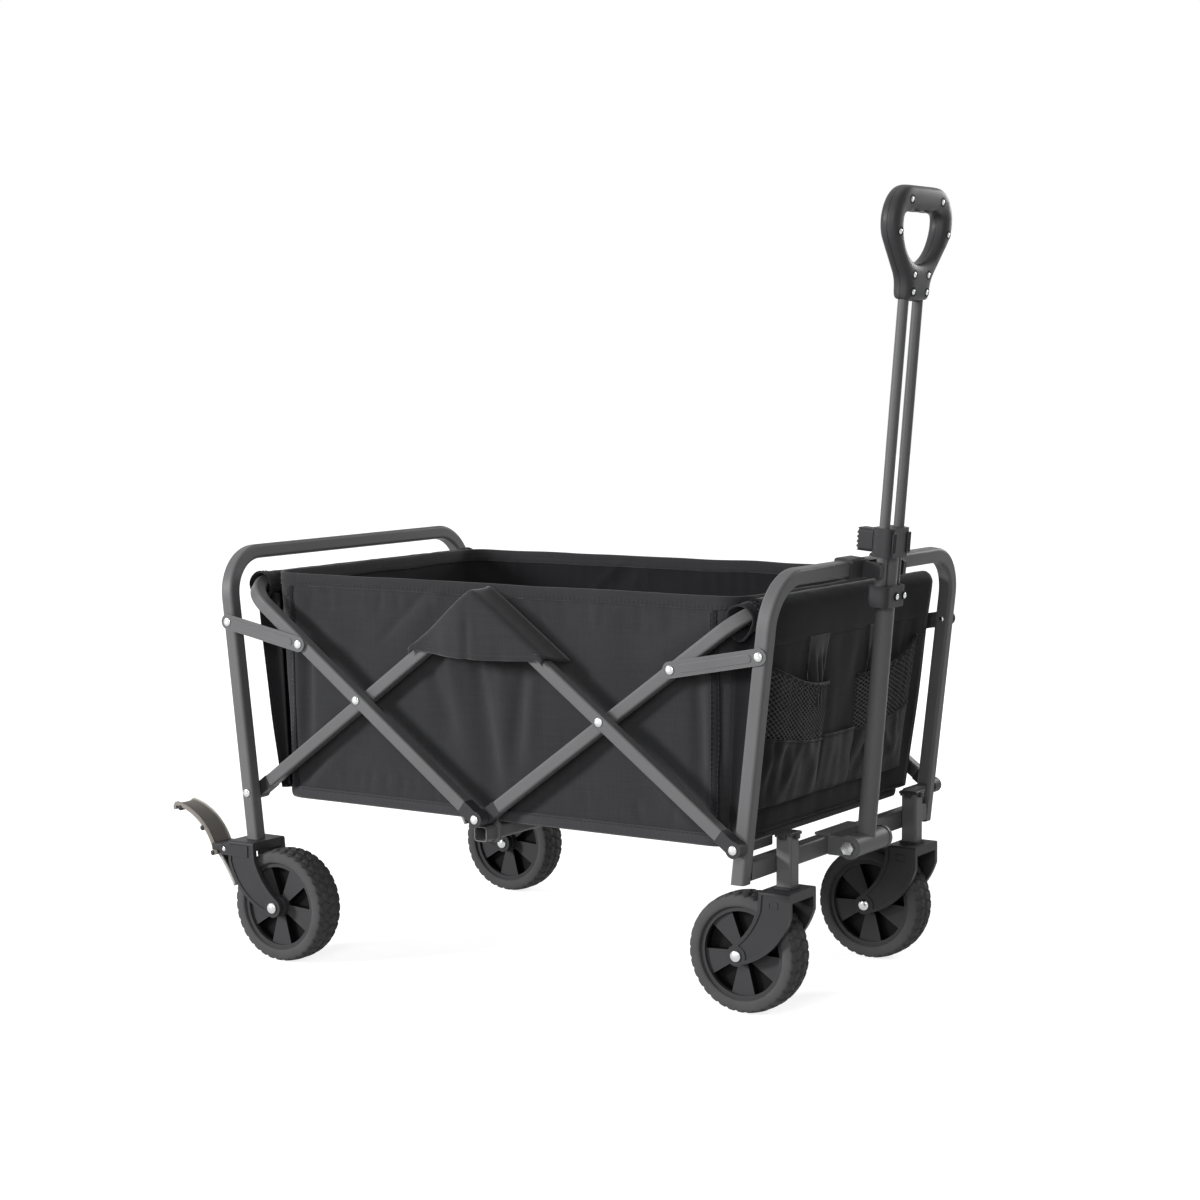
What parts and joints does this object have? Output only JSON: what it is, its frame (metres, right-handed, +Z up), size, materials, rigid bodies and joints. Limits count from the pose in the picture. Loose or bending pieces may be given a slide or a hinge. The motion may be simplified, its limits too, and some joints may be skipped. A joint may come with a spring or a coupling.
{
  "type": "collapsible utility wagon",
  "caption": "Collapsible four-wheeled wagon: a black fabric basket in a folding scissor frame, with swivel casters, pedal brakes and a telescopic pull handle.",
  "frame": {"origin": "on the floor, under the middle of the wagon", "axes": "+X forward to the pull handle, +Y to the wagon's left, +Z up"},
  "size_m": [0.9252, 0.557, 0.9358],
  "materials": {
    "frame_paint": "dark grey powder coat, satin",
    "zinc": "bright zinc plate",
    "black_plastic": "fine moulded grain, satin",
    "grip_plastic": "moulded grip, satin",
    "pedal_plastic": "moulded pedal, brown grey inside",
    "rim_plastic": "moulded wheel, satin",
    "tyre": "matt tread",
    "fabric": "woven polyester cloth, matt black",
    "net": "knitted net, black"
  },
  "bodies": {
    "base": {"base_tube": "frame_paint", "base_plates": "frame_paint", "base_pins": "zinc"},
    "rear_u": {"rear_u_frame": "frame_paint", "rear_u_fittings": "black_plastic"},
    "front_u": {"front_u_frame": "frame_paint", "front_u_fittings": "black_plastic"},
    "rear_arms": {"rear_low_arms": "frame_paint", "rear_low_fittings": "black_plastic", "rear_arm_rivets": "zinc"},
    "front_arms": {"front_low_arms": "frame_paint", "front_low_fittings": "black_plastic", "front_arm_rivets": "zinc"},
    "rear_end": {"rear_end_frame": "frame_paint", "rear_leg_rivets": "zinc", "rear_fork_right": "black_plastic", "rear_fork_left": "black_plastic", "rear_axles": "zinc"},
    "front_end": {"front_end_frame": "frame_paint", "front_leg_rivets": "zinc", "leg_pegs": "black_plastic", "front_crossbar": "frame_paint", "caster_posts": "frame_paint", "post_caps": "black_plastic", "caster_bushings": "black_plastic", "handle_bracket": "frame_paint", "handle_bolt": "zinc", "handle_clip": "black_plastic"},
    "rear_links": {"rear_links": "frame_paint", "rear_link_rivets": "zinc"},
    "front_links": {"front_links": "frame_paint", "front_link_rivets": "zinc"},
    "rear_panel": {"rear_panel": "fabric"},
    "front_panel": {"front_panel": "fabric", "front_pockets": "fabric", "pocket_nets": "net"},
    "basket": {"fabric_tub": "fabric", "floor_mat": "fabric", "side_flaps": "fabric"},
    "rear_wheel_right": {"rear_rim_right": "rim_plastic", "rear_tyre_right": "tyre"},
    "rear_wheel_left": {"rear_rim_left": "rim_plastic", "rear_tyre_left": "tyre"},
    "brake_right": {"brake_pedal_right": "pedal_plastic"},
    "brake_left": {"brake_pedal_left": "pedal_plastic"},
    "caster_right": {"caster_fork_right": "black_plastic", "caster_pins_right": "zinc"},
    "caster_left": {"caster_fork_left": "black_plastic", "caster_pins_left": "zinc"},
    "front_wheel_right": {"front_rim_right": "rim_plastic", "front_tyre_right": "tyre"},
    "front_wheel_left": {"front_rim_left": "rim_plastic", "front_tyre_left": "tyre"},
    "handle_lower": {"handle_stem": "frame_paint", "lock_block": "black_plastic"},
    "handle_upper": {"handle_rods": "frame_paint", "handle_collar": "black_plastic", "grip_front_shell": "grip_plastic", "grip_rear_shell": "grip_plastic"},
    "lock_button": {"lock_button": "black_plastic"}
  },
  "joints": [
    {"name": "fold", "type": "hinge", "parent": "base", "child": "rear_u", "pos_m": [0, 0, 0.2057], "axis": [0, 1, 0], "range_deg": [0, 39.7], "deforming": ["fabric_tub", "floor_mat", "side_flaps"]},
    {"name": "rear_crossing", "type": "hinge", "parent": "rear_u", "child": "rear_arms", "pos_m": [-0.17575, 0, 0.3348], "axis": [0, -1, 0], "range_deg": [0, 79.4]},
    {"name": "rear_leg_pivot", "type": "hinge", "parent": "rear_arms", "child": "rear_end", "pos_m": [-0.3515, 0, 0.2057], "axis": [0, 1, 0], "range_deg": [0, 39.7]},
    {"name": "front_fold", "type": "hinge", "parent": "base", "child": "front_u", "pos_m": [0, 0, 0.2057], "axis": [0, -1, 0], "range_deg": [0, 39.7]},
    {"name": "front_crossing", "type": "hinge", "parent": "front_u", "child": "front_arms", "pos_m": [0.17575, 0, 0.3348], "axis": [0, 1, 0], "range_deg": [0, 79.4]},
    {"name": "front_leg_pivot", "type": "hinge", "parent": "front_arms", "child": "front_end", "pos_m": [0.3515, 0, 0.2057], "axis": [0, -1, 0], "range_deg": [0, 39.7]},
    {"name": "rear_link_pivot", "type": "hinge", "parent": "rear_end", "child": "rear_links", "pos_m": [-0.37576, 0, 0.41993], "axis": [0, -1, 0], "range_deg": [0, 74.1]},
    {"name": "front_link_pivot", "type": "hinge", "parent": "front_end", "child": "front_links", "pos_m": [0.37576, 0, 0.41993], "axis": [0, 1, 0], "range_deg": [0, 74.1]},
    {"name": "rear_panel_hang", "type": "hinge", "parent": "rear_u", "child": "rear_panel", "pos_m": [-0.35467, 0, 0.4662], "axis": [0, -1, 0], "range_deg": [0, 39.7]},
    {"name": "front_panel_hang", "type": "hinge", "parent": "front_u", "child": "front_panel", "pos_m": [0.35467, 0, 0.4662], "axis": [0, 1, 0], "range_deg": [0, 39.7]},
    {"name": "basket_lift", "type": "slide", "parent": "base", "child": "basket", "axis": [0, 0, 1], "range_m": [0, 0.1665]},
    {"name": "rear_wheel_right_spin", "type": "hinge", "parent": "rear_end", "child": "rear_wheel_right", "pos_m": [-0.29497, -0.244, 0.07], "axis": [0, 1, 0], "continuous": true},
    {"name": "rear_wheel_left_spin", "type": "hinge", "parent": "rear_end", "child": "rear_wheel_left", "pos_m": [-0.29497, 0.244, 0.07], "axis": [0, 1, 0], "continuous": true},
    {"name": "brake_right_press", "type": "hinge", "parent": "rear_end", "child": "brake_right", "pos_m": [-0.37297, -0.244, 0.136], "axis": [0, -1, 0], "range_deg": [0, 9]},
    {"name": "brake_left_press", "type": "hinge", "parent": "rear_end", "child": "brake_left", "pos_m": [-0.37297, 0.244, 0.136], "axis": [0, -1, 0], "range_deg": [0, 9]},
    {"name": "caster_right_swivel", "type": "hinge", "parent": "front_end", "child": "caster_right", "pos_m": [0.36725, -0.1566, 0.148], "axis": [0, 0, 1], "continuous": true},
    {"name": "caster_left_swivel", "type": "hinge", "parent": "front_end", "child": "caster_left", "pos_m": [0.36725, 0.1566, 0.148], "axis": [0, 0, 1], "continuous": true},
    {"name": "front_wheel_right_spin", "type": "hinge", "parent": "caster_right", "child": "front_wheel_right", "pos_m": [0.31725, -0.1566, 0.07], "axis": [0, 1, 0], "continuous": true},
    {"name": "front_wheel_left_spin", "type": "hinge", "parent": "caster_left", "child": "front_wheel_left", "pos_m": [0.31725, 0.1566, 0.07], "axis": [0, 1, 0], "continuous": true},
    {"name": "handle_tilt", "type": "hinge", "parent": "front_end", "child": "handle_lower", "pos_m": [0.385, 0, 0.177], "axis": [0, 1, 0], "range_deg": [0, 90]},
    {"name": "handle_slide", "type": "slide", "parent": "handle_lower", "child": "handle_upper", "axis": [0.0854, 0, 0.9963], "range_m": [-0.255, 0.03]},
    {"name": "lock_press", "type": "slide", "parent": "handle_lower", "child": "lock_button", "axis": [0.9963, 0, -0.0854], "range_m": [0, 0.004], "stiffness_N_per_m": 300}
  ],
  "couplings": [
    {"joint": "rear_crossing", "follows": "fold", "ratio": 2},
    {"joint": "rear_leg_pivot", "follows": "fold", "ratio": 1},
    {"joint": "front_fold", "follows": "fold", "ratio": 1},
    {"joint": "front_crossing", "follows": "fold", "ratio": 2},
    {"joint": "front_leg_pivot", "follows": "fold", "ratio": 1},
    {"joint": "rear_link_pivot", "follows": "fold", "ratio": 1.864},
    {"joint": "front_link_pivot", "follows": "fold", "ratio": 1.864},
    {"joint": "rear_panel_hang", "follows": "fold", "ratio": 1},
    {"joint": "front_panel_hang", "follows": "fold", "ratio": 1},
    {"joint": "basket_lift", "follows": "fold", "m_per_rad": 0.2402}
  ]
}
